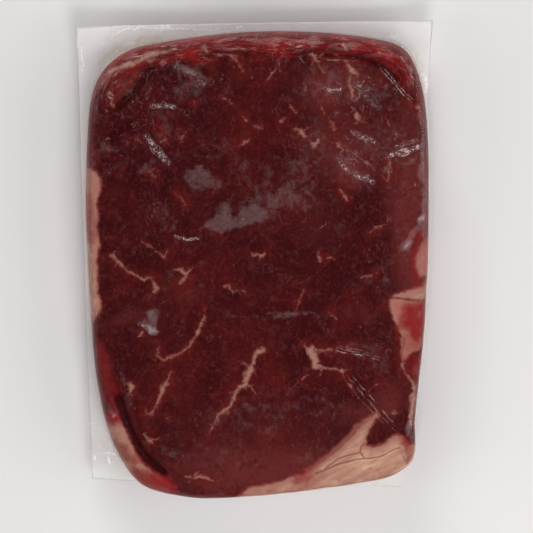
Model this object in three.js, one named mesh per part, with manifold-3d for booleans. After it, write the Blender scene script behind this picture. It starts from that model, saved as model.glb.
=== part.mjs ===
import * as THREE from "three";
import { mergeVertices } from "three/addons/utils/BufferGeometryUtils.js";
import Module from "manifold-3d";

// A raw beef steak sealed in a clear vacuum pouch. It lies on its back, with the good face up.
// Millimetres, +Z up. +Y runs along the steak to its broad straight end, and the origin is on the
// table, under the middle of the pack.

// Driving dimensions
const steakThickness = 27; // table to the middle of the upper face
const widestHeight = 10; // height of the line where the steak is widest and the pouch is sealed
const backRounding = 8; // how far the flat back ends inside the widest line
const faceCrown = 0.9; // how much lower the upper face is at its rim than in the middle
const faceSwell = 0.45; // soft unevenness of the upper face
const swellAcross = 15; // size of that unevenness across and along the steak
const swellAlong = 19;
const filmThickness = 0.5; // the two layers of the pouch's edge, pressed together
const filmOverlap = 7; // how far the edge of the pouch runs into the steak's side
const filmWave = 0.5; // rise and fall of the pouch's free edge
const waveAcross = 9; // size of those waves across and along the pouch
const waveAlong = 13;
const cornerRadius = 1.5; // of the pouch
const curlReach = 16; // distance from a corner of the pouch at which its curl has faded out

// The widest line of the steak, anticlockwise from the middle of its right side: x, y and, as the
// walls bulge and lean in, how far inside that line the upper face begins.
const outlineKnots = [
  [60.3, 28, 3.0],
  [57.9, 59.5, 4.4],
  [51.8, 72.8, 5.4],
  [40.3, 76.7, 5.6],
  [3, 79.1, 5.6],
  [-29.8, 75.7, 5.6],
  [-43, 72.8, 5.6],
  [-51.4, 66.9, 5.0],
  [-56.1, 57.8, 4.0],
  [-58.6, 24, 3.4],
  [-57.1, -20, 3.2],
  [-54.5, -46.6, 4.8],
  [-48.9, -66, 7.2],
  [-39.8, -78.8, 7.4],
  [-24.4, -82.9, 4.2],
  [-9, -83, 2.8],
  [30, -78.8, 2.4],
  [48.5, -74.7, 2.6],
  [55.2, -69.2, 2.8],
  [55.8, -55, 2.6],
  [58.9, -26, 2.6],
];

// The corners of the pouch, anticlockwise from the upper right, and how far each one curls up.
const pouchCorners = [
  { place: new THREE.Vector2(61.3, 82.9), curl: 2.2 },
  { place: new THREE.Vector2(-61.6, 80.9), curl: 3.2 },
  { place: new THREE.Vector2(-57.2, -77.8), curl: -1.2 },
  { place: new THREE.Vector2(50.8, -80.2), curl: 1.6 },
];

// Folds that the shrunk film and the cut have pressed into the meat: reach, depth and route.
const folds = [
  { reach: 5.2, depth: 1.6, route: [[23, 70], [35, 69.6], [43, 67.2], [49.5, 62], [54, 55.3]] },
  { reach: 5.6, depth: 1.4, route: [[-48.6, 51.5], [-43, 57.5], [-38.2, 62]] },
  { reach: 4.8, depth: 0.9, route: [[-37.5, 43], [-33.5, 38], [-29.8, 34]] },
  { reach: 6.0, depth: 1.8, route: [[-55, -26], [-50, -35], [-45, -46.5], [-42, -61], [-34, -74]] },
  { reach: 4.8, depth: 0.8, route: [[28.7, -31.5], [36, -33], [43.8, -36]] },
  { reach: 4.8, depth: 0.9, route: [[32.6, -42.7], [41, -51], [49.4, -60]] },
];

// How finely the solid is divided
const pointsAround = 108;
const faceRings = 15;
const wallRings = 6;
const undersideRings = 4;
const backRings = 2;
const ringCrowding = 0.62; // under 1 crowds the face's rings towards its rim
const pouchEdgePieces = 24;
const pouchCornerPieces = 3;

const outline = new THREE.CatmullRomCurve3(
  outlineKnots.map(([x, y, lean]) => new THREE.Vector3(x, y, lean)),
  true,
  "centripetal",
);

function smoothFade(distance, reach) {
  return 1 - THREE.MathUtils.smoothstep(distance, 0, reach);
}

// Distance from a point to a route of straight pieces
function distanceToRoute(point, route) {
  const nearest = new THREE.Vector3();
  let best = Infinity;
  for (let i = 1; i < route.length; i++) {
    const start = new THREE.Vector3(...route[i - 1], 0);
    const end = new THREE.Vector3(...route[i], 0);
    new THREE.Line3(start, end).closestPointToPoint(point, true, nearest);
    best = Math.min(best, nearest.distanceTo(point));
  }
  return best;
}

// Height of the upper face over the table. The crown's two shares are 1 at the rim.
function faceHeight(x, y) {
  const acrossShare = x / 60;
  const alongShare = y / 80;
  let height = steakThickness - faceCrown * (acrossShare ** 2 + alongShare ** 2) / 2;
  height += faceSwell * Math.sin(x / swellAcross) * Math.cos(y / swellAlong);
  for (const { reach, depth, route } of folds) {
    height -= depth * smoothFade(distanceToRoute(new THREE.Vector3(x, y, 0), route), reach);
  }
  return height;
}

// One ring of the steak for each step from the middle of the face, over the rim, down the bulging
// wall and round to the middle of the back. A ring gives how much of the outline's radius it
// keeps, how many millimetres it is then moved in, and how high it is.
function ringAt(step) {
  if (step <= faceRings) {
    const share = (step / faceRings) ** ringCrowding;
    return { share, inset: (lean) => lean * share, height: faceHeight };
  }
  const wallStep = step - faceRings;
  if (wallStep <= wallRings) {
    const angle = (1 - wallStep / wallRings) * Math.PI / 2;
    return {
      share: 1,
      inset: (lean) => lean * (1 - Math.cos(angle)),
      height: (x, y) => widestHeight + (faceHeight(x, y) - widestHeight) * Math.sin(angle),
    };
  }
  const underStep = wallStep - wallRings;
  if (underStep <= undersideRings) {
    const angle = (underStep / undersideRings) * Math.PI / 2;
    return {
      share: 1,
      inset: () => backRounding * (1 - Math.cos(angle)),
      height: () => widestHeight * (1 - Math.sin(angle)),
    };
  }
  const share = 1 - (underStep - undersideRings) / backRings;
  return { share, inset: () => backRounding * share, height: () => 0 };
}

// The steak starts as a ball whose rings are laid out along the wall's section and the outline.
function steakGeometry() {
  const ringCount = faceRings + wallRings + undersideRings + backRings;
  const geometry = new THREE.SphereGeometry(1, pointsAround, ringCount);
  const rim = outline.getSpacedPoints(pointsAround);
  const position = geometry.attributes.position;
  const around = geometry.attributes.uv;
  for (let i = 0; i < position.count; i++) {
    const ring = ringAt(Math.round((1 - around.getY(i)) * ringCount));
    const turn = Math.round(around.getX(i) * pointsAround) + pointsAround;
    const knot = rim[turn % pointsAround];
    const keep = ring.share - ring.inset(knot.z) / Math.hypot(knot.x, knot.y);
    const x = knot.x * keep;
    const y = knot.y * keep;
    position.setXYZ(i, x, y, ring.height(x, y));
  }
  return geometry;
}

// Outline of the pouch: a small bend at each corner and a divided straight edge to the next one
function pouchOutline() {
  const bends = pouchCorners.map(({ place }, i) => {
    const before = pouchCorners.at(i - 1).place;
    const after = pouchCorners[(i + 1) % pouchCorners.length].place;
    const start = place.clone().lerp(before, cornerRadius / place.distanceTo(before));
    const end = place.clone().lerp(after, cornerRadius / place.distanceTo(after));
    return new THREE.QuadraticBezierCurve(start, place, end);
  });
  return bends.flatMap((bend, i) => {
    const nextBend = bends[(i + 1) % bends.length];
    const edge = new THREE.LineCurve(bend.v2, nextBend.v0);
    return [...bend.getPoints(pouchCornerPieces), ...edge.getPoints(pouchEdgePieces).slice(1, -1)];
  });
}

// The free edge of the pouch: a thin frame round the steak, which waves and curls at its corners
function pouchEdgeGeometry() {
  const rim = outline.getSpacedPoints(pointsAround).slice(1);
  const opening = rim.map((knot) => {
    const keep = 1 - filmOverlap / Math.hypot(knot.x, knot.y);
    return new THREE.Vector2(knot.x * keep, knot.y * keep);
  });
  const frame = new THREE.Shape(pouchOutline());
  frame.holes.push(new THREE.Path(opening));
  const geometry = new THREE.ExtrudeGeometry(frame, { depth: filmThickness, bevelEnabled: false });
  const position = geometry.attributes.position;
  for (let i = 0; i < position.count; i++) {
    const x = position.getX(i);
    const y = position.getY(i);
    let lift = widestHeight + filmWave * Math.sin(x / waveAcross) * Math.cos(y / waveAlong);
    for (const { place, curl } of pouchCorners) {
      lift += curl * smoothFade(place.distanceTo(new THREE.Vector2(x, y)), curlReach);
    }
    position.setZ(i, position.getZ(i) + lift);
  }
  return geometry;
}

const wasm = await Module();
wasm.setup();

function toSolid(geometry) {
  geometry.deleteAttribute("normal");
  geometry.deleteAttribute("uv");
  const merged = mergeVertices(geometry, 1e-4);
  return new wasm.Manifold(new wasm.Mesh({
    numProp: 3,
    vertProperties: Float32Array.from(merged.attributes.position.array),
    triVerts: Uint32Array.from(merged.index.array),
  }));
}

function toGeometry(solid) {
  const mesh = solid.getMesh();
  const geometry = new THREE.BufferGeometry();
  geometry.setAttribute("position", new THREE.BufferAttribute(mesh.vertProperties, 3));
  geometry.setIndex(new THREE.BufferAttribute(mesh.triVerts, 1));
  geometry.computeVertexNormals();
  return geometry;
}

// The film clings to the whole steak, so meat and pouch are one closed body. It is moved so that
// the origin lies exactly under the middle of its box.
const packGeometry = toGeometry(toSolid(steakGeometry()).add(toSolid(pouchEdgeGeometry())));
packGeometry.computeBoundingBox();
const middle = packGeometry.boundingBox.getCenter(new THREE.Vector3());
packGeometry.translate(-middle.x, -middle.y, 0);

const sealedPack = new THREE.Mesh(
  packGeometry,
  new THREE.MeshStandardMaterial({ color: 0x5a1b1c, roughness: 0.3, metalness: 0 }),
);
sealedPack.name = "sealed_pack";

const pack = new THREE.Group();
pack.add(sealedPack);

export default pack;
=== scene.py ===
import math
import random

import bmesh
import bpy
import numpy as np
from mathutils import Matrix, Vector, noise


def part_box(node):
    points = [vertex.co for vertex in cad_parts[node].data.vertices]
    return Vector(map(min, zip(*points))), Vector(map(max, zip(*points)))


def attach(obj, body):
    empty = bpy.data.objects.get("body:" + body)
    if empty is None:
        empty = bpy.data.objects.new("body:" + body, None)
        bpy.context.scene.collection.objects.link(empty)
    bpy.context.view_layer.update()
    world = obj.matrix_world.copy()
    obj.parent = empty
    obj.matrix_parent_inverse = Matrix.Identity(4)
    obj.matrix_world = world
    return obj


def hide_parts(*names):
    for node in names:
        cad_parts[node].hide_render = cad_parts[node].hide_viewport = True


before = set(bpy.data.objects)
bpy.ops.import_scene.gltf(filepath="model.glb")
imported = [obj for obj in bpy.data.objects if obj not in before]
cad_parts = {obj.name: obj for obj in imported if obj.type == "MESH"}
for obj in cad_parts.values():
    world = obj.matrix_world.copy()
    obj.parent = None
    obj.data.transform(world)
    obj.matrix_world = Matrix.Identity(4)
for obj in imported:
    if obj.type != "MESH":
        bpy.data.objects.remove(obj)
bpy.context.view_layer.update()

mm = 0.001
packLow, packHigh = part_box("sealed_pack")

# Shape that the steak and its film share, in millimetres. The outline runs anticlockwise round
# the widest line: x, y and how far inside that line the upper face begins.
packShape = {
    "thickness": (packHigh.z - packLow.z) / mm - 0.4,       # the wrinkles of the film rise above it
    "widestHeight": 10.0,
    "backRounding": 8.0,
    "crown": 0.9,
    "crownAcross": 60.0,
    "crownAlong": 80.0,
    "swell": 0.45,
    "swellAcross": 15.0,
    "swellAlong": 19.0,
    "dents": [(0.22, 9.0, 3.1), (0.09, 3.2, 7.7)],      # height, size and seed
    "wallBulge": (0.35, 11.0, 1.3),                     # the same, outwards
    "deepCut": 0.5,        # folds with a deeper cut get painted shade inside
    "wallShare": 0.35,     # how much a step down the wall counts beside one across the face
    "cornerPull": 3.0,     # how soon the rows of the grid bend towards the rounded outline
    "outline": [
        (60.3, 28, 3.0), (57.9, 59.5, 4.4), (51.8, 72.8, 5.4), (40.3, 76.7, 5.6), (3, 79.1, 5.6),
        (-29.8, 75.7, 5.6), (-43, 72.8, 5.6), (-51.4, 66.9, 5.0), (-56.1, 57.8, 4.0),
        (-58.6, 24, 3.4), (-57.1, -20, 3.2), (-54.5, -46.6, 4.8), (-48.9, -66, 7.2),
        (-39.8, -78.8, 7.4), (-24.4, -82.9, 4.2), (-9, -83, 2.8), (30, -78.8, 2.4),
        (48.5, -74.7, 2.6), (55.2, -69.2, 2.8), (55.8, -55, 2.6), (58.9, -26, 2.6),
    ],
    # lower left, lower right, upper right, upper left corner of the pouch
    "pouchCorners": [(-57.2, -77.8), (50.8, -80.2), (61.3, 82.9), (-61.6, 80.9)],
    "curls": [-1.2, 1.6, 2.2, 3.2],
    "curlReach": 16.0,
    "wave": 0.5,
    "waveAcross": 9.0,
    "waveAlong": 13.0,
}

# Folds that the film presses into the meat: reach and depth of the soft part, half width and depth
# of the narrow cut in its middle, and route
folds = [
    (4.6, 0.8, 0.6, 0.8, [(22, 71.3), (29.4, 71.3), (34.9, 70.1), (40.5, 68.7), (44.2, 67), (48.2, 63.6),
        (51.8, 59.6), (54, 56.2)]),
    (5.0, 0.7, 1.6, 0.9, [(-48.8, 52.1), (-45.3, 54.8), (-41.9, 58.3), (-38.4, 61.8), (-35.6, 65.9)]),
    (4.6, 0.6, 1.3, 0.7, [(-48.8, 42.7), (-46, 45.5), (-43.3, 47.6)]),
    (4.4, 0.5, 0.8, 0.2, [(-37.5, 43.5), (-34, 39), (-29.5, 34.5)]),
    (5.0, 0.5, 0.9, 0.3, [(-52.8, -27.3), (-48.5, -33), (-45.8, -40), (-45, -46)]),
    (5.0, 0.8, 1.4, 1.5, [(-47, -47), (-44.7, -53.8), (-42.2, -59.9), (-39.2, -65.6), (-35, -69.9),
        (-31.6, -72.6)]),
    (4.6, 0.7, 0.7, 0.3, [(-31.6, -72.6), (-29, -74.7), (-26.6, -77.2)]),
    (4.4, 0.5, 0.6, 0.3, [(28.5, -29.5), (36, -31.5), (43, -34)]),
    (4.4, 0.5, 0.6, 0.2, [(32, -40.5), (40.5, -50.5), (49.5, -60)]),
    (4.0, 0.4, 0.6, 0.1, [(-29, 9.5), (-23.5, 8.6), (-17, 9.3)]),
    (6.0, 0.5, 0.6, 0.0, [(4, 70), (3, 52), (5, 36)]),
    (6.0, 0.4, 0.6, 0.0, [(-14, 62), (-16, 45), (-20, 30)]),
    (3.6, 0.5, 0.8, 0.3, [(-27, 69), (-26.5, 62), (-23, 57.5), (-18, 57), (-13.5, 60), (-11.5, 65)]),
]


def smoothFade(distance, reach):
    t = np.clip(1 - distance / reach, 0, 1)
    return t * t * (3 - 2 * t)


# Closed curve through the knots, spaced closely enough to be looked up by its angle
def smoothLoop(knots, steps=24):
    knots = np.array(knots, float)
    points = []
    for i in range(len(knots)):
        before, here, after, beyond = (knots[(i + k) % len(knots)] for k in (-1, 0, 1, 2))
        times = [0.0]
        for one, two in ((before, here), (here, after), (after, beyond)):
            times.append(times[-1] + np.linalg.norm((two - one)[:2]) ** 0.5)
        t0, t1, t2, t3 = times
        for t in np.linspace(t1, t2, steps, endpoint=False):
            a = before * (t1 - t) / (t1 - t0) + here * (t - t0) / (t1 - t0)
            b = here * (t2 - t) / (t2 - t1) + after * (t - t1) / (t2 - t1)
            c = after * (t3 - t) / (t3 - t2) + beyond * (t - t2) / (t3 - t2)
            d = a * (t2 - t) / (t2 - t0) + b * (t - t0) / (t2 - t0)
            e = b * (t3 - t) / (t3 - t1) + c * (t - t1) / (t3 - t1)
            points.append(d * (t2 - t) / (t2 - t1) + e * (t - t1) / (t2 - t1))
    return np.array(points)


outlineLoop = smoothLoop(packShape["outline"])
outlineAngles = np.arctan2(outlineLoop[:, 1], outlineLoop[:, 0])
outlineRadii = np.hypot(outlineLoop[:, 0], outlineLoop[:, 1])


# Radius of the widest line in each direction, and how far inside it the upper face begins
def rimAt(angle):
    turn = 2 * math.pi
    radius = np.interp(angle, outlineAngles, outlineRadii, period=turn)
    lean = np.interp(angle, outlineAngles, outlineLoop[:, 2], period=turn)
    return radius, lean


# 1 along most of a route, fading to 0 at both of its ends
def taper(points, route):
    start, end = np.array(route[0][:2], float), np.array(route[-1][:2], float)
    share = np.clip((points - start) @ (end - start) / ((end - start) @ (end - start)), 0, 1)
    return np.sqrt(np.clip(4 * share * (1 - share) + 0.08, 0, 1))


# Distance in millimetres from points to a route, less half the route's width where it has one
def routeDistance(points, route):
    best = np.full(len(points), 1e6)
    for start, end in zip(route, route[1:]):
        here, there = np.array(start[:2], float), np.array(end[:2], float)
        along = there - here
        share = np.clip((points - here) @ along / (along @ along), 0, 1)
        gap = np.linalg.norm(points - here - share[:, None] * along, axis=1)
        if len(start) > 2:
            gap = gap - (start[2] + share * (end[2] - start[2])) / 2
        best = np.minimum(best, gap)
    return best


# Distance to the edge of an area, negative inside it
def areaDistance(points, corners):
    ring = list(corners) + [corners[0]]
    inside = np.zeros(len(points), bool)
    x, y = points.T
    for (ax, ay), (bx, by) in zip(ring, ring[1:]):
        if ay != by:
            crossing = (ay > y) != (by > y)
            inside ^= crossing & (x < ax + (y - ay) * (bx - ax) / (by - ay))
    distance = routeDistance(points, ring)
    return np.where(inside, -distance, distance)


noiseApart = 57.3        # the noise is unrelated this far away


# A soft drift of the points, so that the listed routes wander as grown ones do. height lets the
# drift change through the thickness, and amount may differ from point to point.
def wander(points, size, amount, seed, height=None):
    heights = np.zeros(len(points)) if height is None else height
    drift = []
    for (x, y), z in zip(points, heights):
        place = Vector((x, y, z)) / size
        drift.append([noise.noise(place + Vector((shift, 0, seed))) for shift in (0, noiseApart)])
    return points + np.array(drift) * np.reshape(amount, (-1, 1))


def roughness(points, size, seed):
    return np.array([noise.noise(Vector((x / size, y / size, seed))) for x, y in points])


# Height of the upper face over the table
def faceHeight(points):
    x, y = points.T
    shape = packShape
    outwards = (x / shape["crownAcross"]) ** 2 + (y / shape["crownAlong"]) ** 2
    height = shape["thickness"] - shape["crown"] * outwards / 2
    height += shape["swell"] * np.sin(x / shape["swellAcross"]) * np.cos(y / shape["swellAlong"])
    for amount, size, seed in shape["dents"]:
        height += amount * roughness(points, size, seed)
    for reach, depth, cutWidth, cut, route in folds:
        distance = routeDistance(points, route)
        height -= depth * smoothFade(distance, reach) + cut * np.exp(-((distance / cutWidth) ** 2))
    return height


# Distance to the side of the nearest deep cut, negative inside it
def cutGap(points):
    gaps = []
    for _, _, cutWidth, cut, route in folds:
        if cut > packShape["deepCut"]:
            gaps.append(routeDistance(points, route) - cutWidth)
    return np.min(gaps, axis=0)


# A closed box of even quads, from -1 to 1 each way
def gridBox(across, along, up):
    bm = bmesh.new()
    bmesh.ops.create_cube(bm, size=2.0)
    for axis, cuts in enumerate((across, along, up)):
        edges = [e for e in bm.edges if abs((e.verts[0].co - e.verts[1].co)[axis]) > 0.1]
        bmesh.ops.subdivide_edges(bm, edges=edges, cuts=cuts - 1, use_grid_fill=True)
    return bm


def gridPlaces(bm):
    return np.array([v.co for v in bm.verts], float)


# Splits every face that has a chosen corner into smaller ones
def splitNear(bm, chosen):
    bm.verts.index_update()
    for f in bm.faces:
        f.tag = any(chosen[v.index] for v in f.verts)
    edges = [e for e in bm.edges if any(f.tag for f in e.link_faces)]
    bmesh.ops.subdivide_edges(bm, edges=edges, cuts=1, use_grid_fill=True)


# Direction, reach and share of the way out for each place of the grid. The grid's edge lies on
# the edge of the pouch, with corner on corner.
def planOf(grid):
    u, v = grid[:, 0], grid[:, 1]
    share = np.maximum(np.abs(u), np.abs(v))
    safe = np.maximum(share, 1e-9)
    u, v = u / safe, v / safe
    lowerLeft, lowerRight, upperRight, upperLeft = np.array(packShape["pouchCorners"], float)
    low = lowerLeft + (lowerRight - lowerLeft) * ((u + 1) / 2)[:, None]
    high = upperLeft + (upperRight - upperLeft) * ((u + 1) / 2)[:, None]
    edge = low + (high - low) * ((v + 1) / 2)[:, None]
    return share, np.arctan2(edge[:, 1], edge[:, 0]), np.hypot(edge[:, 0], edge[:, 1])


# Places the grid's rows between the middle and the edge, bending towards the outline as they go
def layOut(share, angle, reach, edge):
    radius = share * reach * (1 + (edge / reach - 1) * share ** packShape["cornerPull"])
    return np.stack([radius * np.cos(angle), radius * np.sin(angle)], axis=1)


# Steak: the grid box becomes face, bulging wall and flat back, all just inside the film
def steakPlaces(grid, gap):
    share, angle, reach = planOf(grid)
    rim, lean = rimAt(angle)
    w = grid[:, 2]
    rise = np.clip(w, 0, 1) * math.pi / 2
    drop = np.clip(-w, 0, 1) * math.pi / 2
    inset = lean * (1 - np.cos(rise)) + packShape["backRounding"] * (1 - np.cos(drop))
    plan = layOut(share, angle, reach, rim - inset - gap)
    amount, size, seed = packShape["wallBulge"]
    bulge = amount * roughness(plan, size, seed) * np.sin(math.pi * np.clip(1 - np.abs(w), 0, 1))
    plan = plan * (1 + bulge / np.maximum(rim, 1))[:, None]
    widest = packShape["widestHeight"]
    top = faceHeight(plan) - gap
    above = widest + (top - widest) * np.sin(rise)
    below = gap + (widest - gap) * (1 - np.sin(drop))
    return plan, np.where(w >= 0, above, below)


# The point of the widest line nearest to each place, how far inside that line the place lies, and
# a measure that grows from the middle of the face outwards and down the wall
def rimPlaces(grid, plan, z):
    _, angle, _ = planOf(grid)
    rim, _ = rimAt(angle)
    inward = rim - np.hypot(plan[:, 0], plan[:, 1])
    down = packShape["wallShare"] * (packShape["thickness"] - z) - inward
    return {"rimX": rim * np.cos(angle), "rimY": rim * np.sin(angle), "inward": inward, "down": down}


def finishMesh(bm, name, places, attributes):
    bm.verts.ensure_lookup_table()
    for v, place in zip(bm.verts, places):
        v.co = Vector(place) * mm
    bmesh.ops.recalc_face_normals(bm, faces=bm.faces)
    bm.normal_update()
    attributes["steep"] = [1 - abs(v.normal.z) for v in bm.verts]
    for f in bm.faces:
        f.smooth = True
    mesh = bpy.data.meshes.new(name)
    bm.to_mesh(mesh)
    bm.free()
    for key, values in attributes.items():
        layer = mesh.attributes.new(key, "FLOAT", "POINT")
        layer.data.foreach_set("value", np.asarray(values, np.float32))
    obj = bpy.data.objects.new(name, mesh)
    bpy.context.scene.collection.objects.link(obj)
    return obj


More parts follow.
